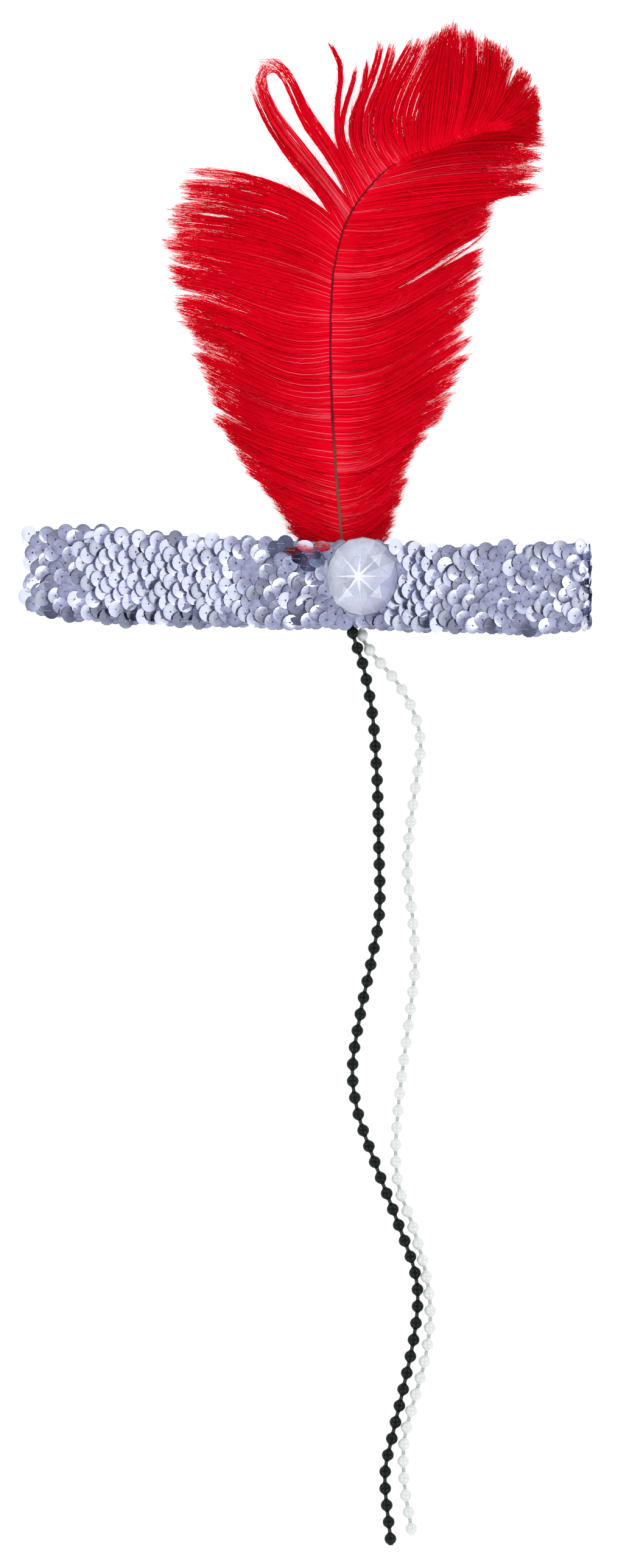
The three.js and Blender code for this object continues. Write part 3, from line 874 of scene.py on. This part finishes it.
class HEADBAND_OT_sequins(bpy.types.Operator):
    """Sew rows of dished sequins round the band, each lying on the next"""

    bl_idname = "headband.sequins"
    bl_label = "Sequins"

    def execute(self, context):
        band = context.scene.headband_band
        rng = np.random.default_rng(7)
        radius = band.sequin / MM / 2
        dish = band.dish / MM
        row, x, y, z, normal = self.places(band, radius, rng)
        over, side, steady, pressed = self.tilts(band, x, y, normal, rng)
        count = len(row)

        lift = np.where(pressed, 0.25, 0.45) + 0.8 * np.maximum(0, radius * np.sin(over) - 0.8)
        edge = np.where(row == 0, -1, np.where(row == band.rows - 1, 1, 0))
        often = np.select([edge < 0, edge > 0], TUCKED_SHARES)
        tucked = (normal[:, 2] >= 0) & (rng.random(count) < often)
        lift = np.where(tucked, 0.1, lift)
        y = y + np.where(tucked, edge, 0)
        upturned = ~pressed & (np.hypot(x - UPTURNED_PLACE[0], y - UPTURNED_PLACE[1]) < UPTURNED_REACH)
        side = np.where(upturned, -np.radians(rng.normal(48, 6, count)), side)
        lift = np.where(upturned, 1.6, lift)

        back = np.stack([normal[:, 2], np.zeros(count), -normal[:, 0]], -1)
        across = np.tile([0.0, 1.0, 0.0], (count, 1))
        forward = np.cos(over)[:, None] * back - np.sin(over)[:, None] * normal
        face = np.sin(over)[:, None] * back + np.cos(over)[:, None] * normal
        upright = np.cos(side)[:, None] * across + np.sin(side)[:, None] * face
        face = np.cos(side)[:, None] * face - np.sin(side)[:, None] * across
        axes = np.stack([forward, upright, face], 1)
        centre = np.stack([x, y, z], -1) + lift[:, None] * normal

        def put(shape_points, lowest):
            placed = centre[:, None] + np.einsum("pk,nkc->npc", shape_points, axes)
            placed[..., 2] = np.maximum(placed[..., 2], lowest)
            return placed

        flat = SEQUIN_FLAT * radius
        sequin = spun_shape([(SEQUIN_HOLE, 0), (flat, 0), (radius, dish), (flat, -SEQUIN_FILM)], 14)
        mesh = new_mesh("sequins", *joined(sequin, put(sequin.points, 0.02)))
        tone = np.clip(0.7 + rng.normal(0, 0.36, count) * steady, 0.25, 1)
        # Painted shade: the outer ring of each sequin is made darker, standing in for the shadow between
        # overlapping sequins.
        rim = np.hypot(*sequin.points[:, :2].T) > 0.9 * radius
        shade = np.maximum(0.1, tone[:, None] - 0.35 * steady[:, None] * rim)
        # Painted shadow: the sequins tucked half under their row get a tone close to the material's shadow
        # colour.
        set_tone(mesh, np.where(tucked[:, None], 0.05, shade))
        show(mesh, "sequin_band", sequin_silver(band.silver))

        over_rim = [(-1.6, 0, 0.1), (-radius, 0, dish + 0.08), (-radius - 0.2, 0, -0.2)]
        route = np.array([(0.3, 0, -0.3), (0.1, 0, 0.1), *over_rim])
        sewn = put(route, 0.1)[np.abs(normal[:, 2]) > 0.8]
        stitch = tube_shape(3, len(route))
        lines = along_lines(stitch, sewn, np.full(sewn.shape[:2], STITCH_RADIUS))
        mesh = new_mesh("sequin_stitches", *joined(stitch, lines))
        show(mesh, "sequin_band", thread_cotton("stitch_thread", band.thread))
        return {"FINISHED"}

    def places(self, band, radius, rng):
        """Each sequin's row, its place on the band's wall, and the wall's normal there."""
        a_row = 2 * round(LOOP_LENGTH * MM / band.pitch / 2)
        grid = np.meshgrid(np.arange(band.rows), np.arange(a_row), indexing="ij")
        row, turn = (g.ravel() for g in grid)
        shift = (row % 2) * 0.5 + rng.normal(0, 0.06, len(row))
        x, z, normal = loop_place((turn + shift) * LOOP_LENGTH / a_row)
        drift, width = band_lie(x)
        zigzag = np.where((turn + row) % 2, 1, -1) * band.zigzag / MM
        inset = 2 * (radius + band.zigzag / MM)
        y = drift + (row / (band.rows - 1) - 0.5) * (width - inset) + zigzag
        return row, x, y + rng.normal(0, 0.4, len(row)), z, normal

    def tilts(self, band, x, y, normal, rng):
        """How far each sequin lies over the next and leans to the beads, how steady it is, and
        whether the stone or the floor presses it flat."""
        count = len(x)
        on_back = normal[:, 2] < 0
        under_stone = np.hypot(x - STONE_CENTRE[0], y - STONE_CENTRE[1]) < 16
        pressed = on_back | under_stone
        stations, steep, leaning = np.array(SEQUIN_LIE, float).T
        loose = np.where(rng.random(count) < 0.1, 2.2, 1.0) * np.where(pressed, 0.2, 1.0)
        blurred = x + rng.normal(0, 4, count)
        over = np.where(pressed, band.overlap, np.radians(np.interp(blurred, stations, steep)))
        side = np.where(pressed, 0, np.radians(np.interp(blurred, stations, leaning)))
        steady = np.interp(np.degrees(over), [14, 22], [1.0, 0.5])
        over = over + np.radians(rng.normal(0, 4.6, count)) * loose * steady
        side = side + np.radians(rng.normal(0, 4.6, count)) * loose * steady
        return over, side, steady, pressed


class HEADBAND_OT_stone(bpy.types.Operator):
    """Cut the clear stone and silver its back, with the star that shows through it"""

    bl_idname = "headband.stone"
    bl_label = "Stone"

    def execute(self, context):
        stone = context.scene.headband_stone
        half = (stone.across / 2, stone.tall / 2)
        seat = BAND_HEIGHT - front_dip(STONE_CENTRE[0] - half[0] / MM) + STONE_CLEARANCE
        seat += half[0] / MM * math.sin(STONE_TILT)
        place = Matrix.Translation(Vector((*STONE_CENTRE, seat)) * MM) @ Matrix.Rotation(-STONE_TILT, 4, "Y")

        mesh = self.finished("stone_crown", self.crown(half), place)
        tilted = np.array([face.normal for face in mesh.polygons])
        cut = np.random.default_rng(3).uniform(-0.9, 1.0, len(tilted))
        # Painted shade: facets that face right and towards the beads are toned towards the darker facet
        # colour; all but the table also get a random tint.
        painted_side_shade = 1.8 * tilted[:, 0] - 0.5 * tilted[:, 1]
        self.tone_facets(mesh, painted_side_shade + np.where(tilted[:, 2] > 0.97, 0, cut))
        show(mesh, "stone", clear_stone(stone.glass, stone.smoke_and_shade), smooth=False)

        mesh = self.finished("stone_back", self.back(half, stone.ray), place)
        self.tone_facets(mesh, np.random.default_rng(5).uniform(0.5, 1.6, len(mesh.polygons)))
        show(mesh, "stone", stone_foil(stone.foil), glowing_ray_white(), smooth=False)
        return {"FINISHED"}

    def oval(self, half, share, z):
        """The place of a round of radius 1, drawn out to a share of the stone's outline."""
        return Matrix.Translation((0, 0, z * MM)) @ Matrix.Diagonal((share * half[0], share * half[1], 1, 1))

    def crown(self, half):
        """The hull of four rings of corners, with worn edges."""
        bm = bmesh.new()
        star_height = STONE_CROWN * (1 - STAR_SHARE * math.cos(STONE_STEP / 2)) / (1 - TABLE_SHARE)
        rings = (
            (2 * STONE_FACETS, 0, 1, 0),
            (2 * STONE_FACETS, 0, 1, STONE_GIRDLE),
            (STONE_FACETS, 0, STAR_SHARE, STONE_GIRDLE + star_height),
            (STONE_FACETS, STONE_STEP / 2, TABLE_SHARE, STONE_GIRDLE + STONE_CROWN),
        )
        for points, turn, share, z in rings:
            ring = self.oval(half, share, z) @ Matrix.Rotation(turn, 4, "Z")
            bmesh.ops.create_circle(bm, segments=points, radius=1, matrix=ring)
        bmesh.ops.convex_hull(bm, input=bm.verts[:])
        bmesh.ops.dissolve_limit(bm, angle_limit=math.radians(0.5), verts=bm.verts[:], edges=bm.edges[:])
        bmesh.ops.bevel(
            bm, geom=bm.edges[:], offset=0.12 * MM, offset_type="OFFSET", affect="EDGES", segments=2,
            profile=0.5, material=-1,
        )
        bmesh.ops.recalc_face_normals(bm, faces=bm.faces[:])
        return bm

    def back(self, half, ray_length):
        """The silvered back, folded into facets that sink to its culet, and the star's rays."""
        bm = bmesh.new()
        bmesh.ops.create_cone(
            bm, cap_ends=True, cap_tris=True, segments=2 * STONE_FACETS, radius1=1, radius2=1,
            depth=FOIL_DEPTH * MM, matrix=self.oval(half, FOIL_SHARE, FOIL_MIDDLE),
        )
        upper = [v for v in bm.verts if v.co.z > FOIL_MIDDLE * MM]
        culet = min(upper, key=lambda v: v.co.xy.length)
        for vert in upper:
            around = math.atan2(vert.co.y / half[1], vert.co.x / half[0])
            if vert is not culet and round(2 * around / STONE_STEP) % 2:
                vert.co.z -= FOIL_FOLD * MM
        culet.co += Vector((CULET_SHIFT, 0, -CULET_DEPTH)) * MM
        ray_spike = spike_shape()
        foot = culet.co + Vector((0, 0, 0.25 * MM))
        for k in range(STONE_FACETS):
            turn = k * STONE_STEP
            edge = FOIL_SHARE * Vector((half[0] * math.cos(turn), half[1] * math.sin(turn), 0))
            edge.z = 1.25 * MM
            tip = foot + (edge - foot).normalized() * ray_length * (1.0 if k % 2 else 0.93)
            self.ray(bm, ray_spike, foot, tip)
        return bm

    def ray(self, bm, shape, foot, tip):
        """One tapered ray, wide at the culet and drawn to a point."""
        placed = spikes(shape, np.array([foot]), np.array([tip]), np.array([RAY_RADIUS * MM]))[0]
        verts = [bm.verts.new(p) for p in placed]
        for corners in shape.faces:
            bm.faces.new([verts[i] for i in corners]).material_index = 1

    def finished(self, name, bm, place):
        bmesh.ops.transform(bm, matrix=place, verts=bm.verts[:])
        mesh = bpy.data.meshes.new(name)
        bm.to_mesh(mesh)
        bm.free()
        return mesh

    def tone_facets(self, mesh, values):
        """A number on each face, which the material reads."""
        tone = mesh.attributes.new("tone", "FLOAT", "FACE")
        tone.data.foreach_set("value", np.clip(values, 0, 1))


class HEADBAND_OT_shaft(bpy.types.Operator):
    """Make the plume's shaft"""

    bl_idname = "headband.shaft"
    bl_label = "Plume Shaft"

    def execute(self, context):
        plume = context.scene.headband_plume
        route = Route(SHAFT)
        rings = 72
        places = np.linspace(0, route.length, rings)
        share = places / route.length
        shape = tube_shape(7, rings)
        radii = SHAFT_ROOT + (SHAFT_TIP - SHAFT_ROOT) * share**0.8
        line = route.at(places)
        line[:, 2] -= np.interp(places, *SHAFT_DIP)
        points, faces = joined(shape, along_lines(shape, line[None], radii[None]))
        mesh = new_mesh("plume_shaft", points, faces)
        set_tone(mesh, np.rint(shape.points[:, 2]) / (rings - 1))
        show(mesh, "plume", shaft_horn(plume.quill, plume.maroon))
        return {"FINISHED"}


class HEADBAND_OT_vane(bpy.types.Operator):
    """Grow the plume's barbs in locks on both sides of the shaft, each with its fine hairs"""

    bl_idname = "headband.vane"
    bl_label = "Plume Vane"

    def execute(self, context):
        plume = context.scene.headband_plume
        route = Route(SHAFT)
        vane = dyed_barb("dyed_barb", plume.deep, plume.scarlet, plume.light)
        for side, turn, seed in (("left", 1, 11), ("right", -1, 12)):
            rng = np.random.default_rng(seed)
            lines, tone, painted_highlight, hair = self.strands(route, side, turn, plume, rng)
            self.stems(side, lines, tone, painted_highlight, vane)
            self.hairs(side, lines, tone, hair, plume, rng, vane)
        return {"FINISHED"}

    def barb_lines(self, route, side, turn, at, rng):
        """The middle lines of one side's barbs, as (barb, point, xyz), and the half widths of
        those in the fan."""
        table = np.array(LOCKS, float)
        names = Lock._fields
        barbs = len(at)
        row = np.clip(np.searchsorted(table[:, 0], at, side="right") - 1, 0, len(table) - 2)
        start, span = table[row, 0], table[row + 1, 0] - table[row, 0]
        share = (at - start) / span
        tuft = np.rint(np.interp(at, *TUFTS[side])).astype(int)
        tuft_share = np.clip((np.interp(tuft, *TUFTS[side][::-1]) - start) / span, 0, 1)
        parted = table[row, names.index(side + "_part")] > 0
        root = route.at(at)
        heading = unit(route.heading(at) * [1, 1, 0])
        tufts = tuft.max() + 1
        lean_off = rng.normal(0, 1.0, barbs) + rng.normal(0, 0.6, tufts)[tuft]
        short = rng.uniform(0.99, 1.04, barbs) * rng.uniform(0.96, 1.03, tufts)[tuft]
        stations, left_sweep, right_sweep = np.array(SWEEPS, float).T
        sweep = np.interp(at, stations, left_sweep if side == "left" else right_sweep)
        u = np.linspace(0, 1, 25)[None, :, None]

        def each(values):
            return values[:, None, None]

        def towards(degrees, distance, z):
            angle = turn * np.radians(degrees)
            x = heading[:, 0] * np.cos(angle) - heading[:, 1] * np.sin(angle)
            y = heading[:, 0] * np.sin(angle) + heading[:, 1] * np.cos(angle)
            return np.stack([root[:, 0] + x * distance, root[:, 1] + y * distance, z], -1)

        def arc(places):
            kept = np.where(share < 0.55, 0.2 * places, 1 - 0.2 * (1 - places))
            places = np.where(parted, kept, places)
            between = {}
            for name, column in zip(names, table.T):
                between[name] = column[row] + (column[row + 1] - column[row]) * places
            lean = between[side + "_lean"] + lean_off
            reach = between[side + "_reach"] * short
            tip_z = np.maximum(between["tip"], 0.1) + TIP_RISE
            bend = towards(lean + sweep, reach * BENDS[side], (root[:, 2] + tip_z) / 2 + LOCK_ARCH)
            tip = towards(lean, reach, tip_z)
            return (1 - u) ** 2 * root[:, None] + 2 * u * (1 - u) * bend[:, None] + u**2 * tip[:, None]

        gather = np.interp(at, *GATHERS[side]) + rng.normal(0, 0.12, tufts)[tuft]
        drawn = each(np.clip(gather, 0, 0.9)) * u ** each(np.interp(at, *GATHER_POWER))
        own = arc(share)
        lines = own + (arc(tuft_share) - own) * drawn
        waves, phase, swing = (each(rng.uniform(*ends, barbs)) for ends in ((0.4, 1.0), (0, 1), (0.1, 0.9)))
        wave = np.sin(2 * math.pi * (waves * u + phase)) * swing * u**1.5
        wave -= turn * each(np.interp(at, *ESSES[side])) * np.sin(2 * math.pi * u)
        lines += unit(np.cross(np.gradient(lines, axis=1), UP)) * wave

        fan_width = np.zeros(barbs)
        if side == "left":
            tip_z = np.interp(at, table[:, 0], table[:, names.index("tip")]) + TIP_RISE
            self.fan(route, at, root, tip_z, u[0], lines, fan_width, rng)
        return lines, fan_width

    def fan(self, route, at, root, tip_z, u, lines, fan_width, rng):
        """Lays the barbs of the open fan along its fingers, and notes the fingers' half widths."""
        starts = [finger[0] for finger in FINGERS] + [FINGERS_END]
        for stop, (start, width, points) in zip(starts[1:], FINGERS):
            foot = route.at((start + stop) / 2)
            finger = Route([(*foot[:2], 0)] + [(x, y, 0) for x, y in points])
            for i in np.flatnonzero((at >= start) & (at < stop)):
                fan_width[i] = width
                line = finger.at(u[:, 0] * finger.length * rng.uniform(0.97, 1.04))
                line += (root[i] - foot) * (1 - u) ** 2
                rise = root[i, 2] + (tip_z[i] - root[i, 2]) * u + 2 * u * (1 - u) * LOCK_ARCH
                line[:, 2] = rise[:, 0]
                lines[i] = line

    def strands(self, route, side, turn, plume, rng):
        """The lines of one side's strands, their tones, how much painted highlight lightens them near the
        shaft, and how long their hairs may be."""
        at = np.interp(np.linspace(0, 1, plume.barbs), *BARB_PLACES) + rng.normal(0, 0.25, plume.barbs)
        middles, fan_width = self.barb_lines(route, side, turn, at, rng)
        grid = np.meshgrid(np.arange(plume.barbs), np.arange(plume.strands), indexing="ij")
        barb, place = (g.ravel() for g in grid)
        count = len(barb)
        stem = place == 0
        under = place % 3 == 1
        in_fan = fan_width[barb] > 0

        # Across the barb, from -1 to 1. In the fan the strands draw into slots about 1 mm wide
        aside = np.where(stem, 0, 2 * (place + rng.random(count)) / plume.strands - 1)
        slots = np.maximum(1, np.rint(fan_width[barb]))
        slot = np.clip(np.floor((aside + 1) / 2 * slots), 0, slots - 1).astype(int)
        slot_middle = (2 * slot + 1) / slots - 1
        aside = np.where(in_fan & ~under, slot_middle + 0.8 * (aside - slot_middle), aside)
        depth = np.where(stem, 1.0, np.clip(rng.normal(0, 0.5, count), -1, 1))
        most_slots = 8
        end = 1 - 0.03 * np.abs(aside) - rng.uniform(0, 0.07, count)
        end = end - np.where(in_fan, rng.uniform(0, 0.07, most_slots)[slot], 0)
        end = np.where(under, rng.uniform(0.65, 0.93, count), end)
        end = np.where(under & in_fan, rng.uniform(0.22, 0.42, count), end)

        u = np.linspace(0, 1, 10)[None] * end[:, None]
        lines = along(middles, barb[:, None], u)
        across = unit(np.cross(np.gradient(lines, axis=1), UP))
        wide = np.where(under[:, None], np.interp(u, *UNDER_WIDTH), np.interp(u, *BARB_WIDTH))
        finger = np.interp(u, *FINGER_WIDTH) * fan_width[barb, None] + np.interp(u, *FINGER_FOOT)
        wide = np.where((in_fan & ~under)[:, None], finger, wide)
        phase = rng.uniform(0, 2 * math.pi, most_slots)[slot]
        wave = np.where(in_fan[:, None], 0.6 * u * np.sin(9 * u + phase[:, None]), 0)
        lines += across * (aside[:, None] * wide + wave)[..., None]

        beside = at[barb] + 1.7 * turn * aside
        for _, middle, first, last, half_width in (gap for gap in PARTINGS if gap[0] == side):
            away = beside - middle
            pushed = np.sign(away) * np.maximum(0, 1 - np.abs(away) / PARTING_REACH)
            pushed = pushed * np.where(under, 0.45, 1)
            opened = half_width * np.maximum(0, 1 - ((2 * u - first - last) / (last - first)) ** 2)
            lines += turn * across * (pushed[:, None] * opened)[..., None]

        layer = rng.uniform(-0.6, 0.6, plume.barbs)
        level = np.where(under, -1.2, layer[barb] + 0.35 * depth)
        lines[..., 2] = np.maximum(lines[..., 2] + level[:, None] * np.interp(u, *BARB_DEPTH), 0.3)
        tone = 0.5 + rng.normal(0, 0.08, plume.barbs) - np.interp(at, [185, 205], [0, 0.27])
        # Painted shade: the strands underneath are a little darker.
        tone = tone[barb] + rng.normal(0, 0.08, count) - 0.06 * under
        hair = np.where(in_fan, 0.7, np.interp(at, [196, 204], [1, 0.7])[barb])
        # Painted highlight near the shaft, on top of the stems' paler colour: the stems start much lighter,
        # the other strands a little.
        return lines, tone, np.where(stem, 0.45, 0.15), hair

    def stems(self, side, lines, tone, painted_highlight, vane):
        count, points = lines.shape[:2]
        shape = tube_shape(3, points)
        radii = np.tile(np.interp(np.linspace(0, 1, points), *STRAND_RADIUS), (count, 1))
        mesh = new_mesh("plume_barbs_" + side, *joined(shape, along_lines(shape, lines, radii)))
        # The painted highlight fades out along the first 70 % of each strand.
        fade = np.interp(shape.points[:, 2] / (points - 1), [0, 0.35, 0.7], [1, 0.4, 0])
        set_tone(mesh, tone[:, None] + painted_highlight[:, None] * fade)
        show(mesh, "plume", vane)

    def hairs(self, side, lines, tone, hair, plume, rng, vane):
        strand = rng.integers(0, len(lines), plume.down)
        u = 0.03 + 0.969 * rng.random(plume.down) ** 0.8
        foot = along(lines, strand, u)
        heading = unit(along(lines, strand, u + 0.01) - along(lines, strand, u - 0.01))
        across = unit(np.cross(heading, UP))
        swing = np.radians(rng.normal(0, 17, plume.down))
        rise = np.radians(rng.normal(0, 5, plume.down))
        aim = np.cos(swing)[:, None] * heading + np.sin(swing)[:, None] * across + np.sin(rise)[:, None] * UP
        longest = np.interp(u, *HAIR_LENGTH) * plume.hair / MM * hair[strand]
        tip = foot + unit(aim) * (longest * rng.uniform(0.6, 1.0, plume.down))[:, None]
        tip[:, 2] = np.maximum(tip[:, 2], 0.15)
        shape = spike_shape()
        placed = spikes(shape, foot, tip, rng.uniform(0.05, 0.10, plume.down))
        placed[..., 2] = np.maximum(placed[..., 2], 0.05)
        mesh = new_mesh("plume_down_" + side, *joined(shape, placed))
        shade = tone[strand] + rng.normal(0, 0.15, plume.down) + 0.1 * (u > 0.8)
        set_tone(mesh, np.repeat(shade, len(shape.points)))
        show(mesh, "plume", vane, smooth=False)


class HEADBAND_OT_beads(bpy.types.Operator):
    """String the black and the white beads and lay them out"""

    bl_idname = "headband.beads"
    bl_label = "Bead Strings"

    def execute(self, context):
        beads = context.scene.headband_beads
        radius = beads.diameter / MM / 2
        hole = beads.thread / MM / 2
        neck = radius + 0.15
        arc = np.linspace(0.5, math.pi - 0.5, 7)
        ball = [(radius * math.sin(a), radius * math.cos(a)) for a in arc]
        bead = spun_shape([(hole, neck), *ball, (hole, -neck)], 16)
        dark = thread_cotton("black_thread", (0.004, 0.006, 0.004))
        pale = thread_cotton("white_thread", (0.56, 0.575, 0.52))
        self.string("bead_string_black", BLACK_STRING, bead, hole, jet_glaze(beads.jet), dark)
        self.string("bead_string_white", WHITE_STRING, bead, hole, pearl_glaze(beads.pearl), pale)
        return {"FINISHED"}

    def string(self, name, string, bead, hole, glaze, thread):
        route = Route([(*place, BEAD_LIE)[:3] for place in string.route])
        places = np.arange(string.first_bead, route.length, string.pitch)
        centre = route.at(places)
        centre[:, 2] = np.maximum(centre[:, 2], BEAD_LIE)
        forward = route.heading(places)
        across = unit(np.cross(forward, UP))
        axes = np.stack([across, np.cross(forward, across), forward], 1)
        points, faces = joined(bead, centre[:, None] + np.einsum("pk,nkc->npc", bead.points, axes))

        rings = 240
        shape = tube_shape(6, rings)
        line = route.at(np.linspace(0, places[-1], rings))
        line[:, 2] = np.maximum(line[:, 2], BEAD_LIE)
        core, core_faces = joined(shape, along_lines(shape, line[None], np.full((1, rings), hole)))
        both_faces = np.vstack([faces, core_faces + len(points)])
        mesh = new_mesh(name + "_beads", np.vstack([points, core]), both_faces)
        finish = np.repeat([0, 1], [len(faces), len(core_faces)])
        mesh.polygons.foreach_set("material_index", finish.astype(np.int32))
        show(mesh, name, glaze, thread)


class HEADBAND_PT_panel(bpy.types.Panel):
    """Lists the headband's pieces and their sizes"""

    bl_idname = "HEADBAND_PT_panel"
    bl_label = "Flapper Headband"
    bl_space_type = "VIEW_3D"
    bl_region_type = "UI"
    bl_category = "Headband"

    def draw(self, context):
        for name, groups in PARTS:
            box = self.layout.box()
            for operator in groups:
                box.operator(operator.bl_idname)
            settings = getattr(context.scene, name)
            for key in settings.bl_rna.properties.keys():
                if key not in {"rna_type", "name"}:
                    box.prop(settings, key)


PARTS = (
    ("headband_stage", (HEADBAND_OT_stage,)),
    ("headband_band", (HEADBAND_OT_net, HEADBAND_OT_sequins)),
    ("headband_stone", (HEADBAND_OT_stone,)),
    ("headband_plume", (HEADBAND_OT_shaft, HEADBAND_OT_vane)),
    ("headband_beads", (HEADBAND_OT_beads,)),
)
SETTINGS = {
    "headband_stage": HeadbandStage,
    "headband_band": HeadbandBand,
    "headband_stone": HeadbandStone,
    "headband_plume": HeadbandPlume,
    "headband_beads": HeadbandBeads,
}
CLASSES = (
    *SETTINGS.values(),
    *(operator for _, operators in PARTS for operator in operators),
    HEADBAND_PT_panel,
)


def register():
    for cls in CLASSES:
        bpy.utils.register_class(cls)
    for name, group in SETTINGS.items():
        setattr(bpy.types.Scene, name, PointerProperty(type=group))


def unregister():
    for name in SETTINGS:
        delattr(bpy.types.Scene, name)
    for cls in reversed(CLASSES):
        bpy.utils.unregister_class(cls)


def main():
    register()
    bpy.ops.headband.stage()
    bpy.ops.headband.net()
    bpy.ops.headband.sequins()
    bpy.ops.headband.stone()
    bpy.ops.headband.shaft()
    bpy.ops.headband.vane()
    bpy.ops.headband.beads()


if __name__ == "__main__":
    main()
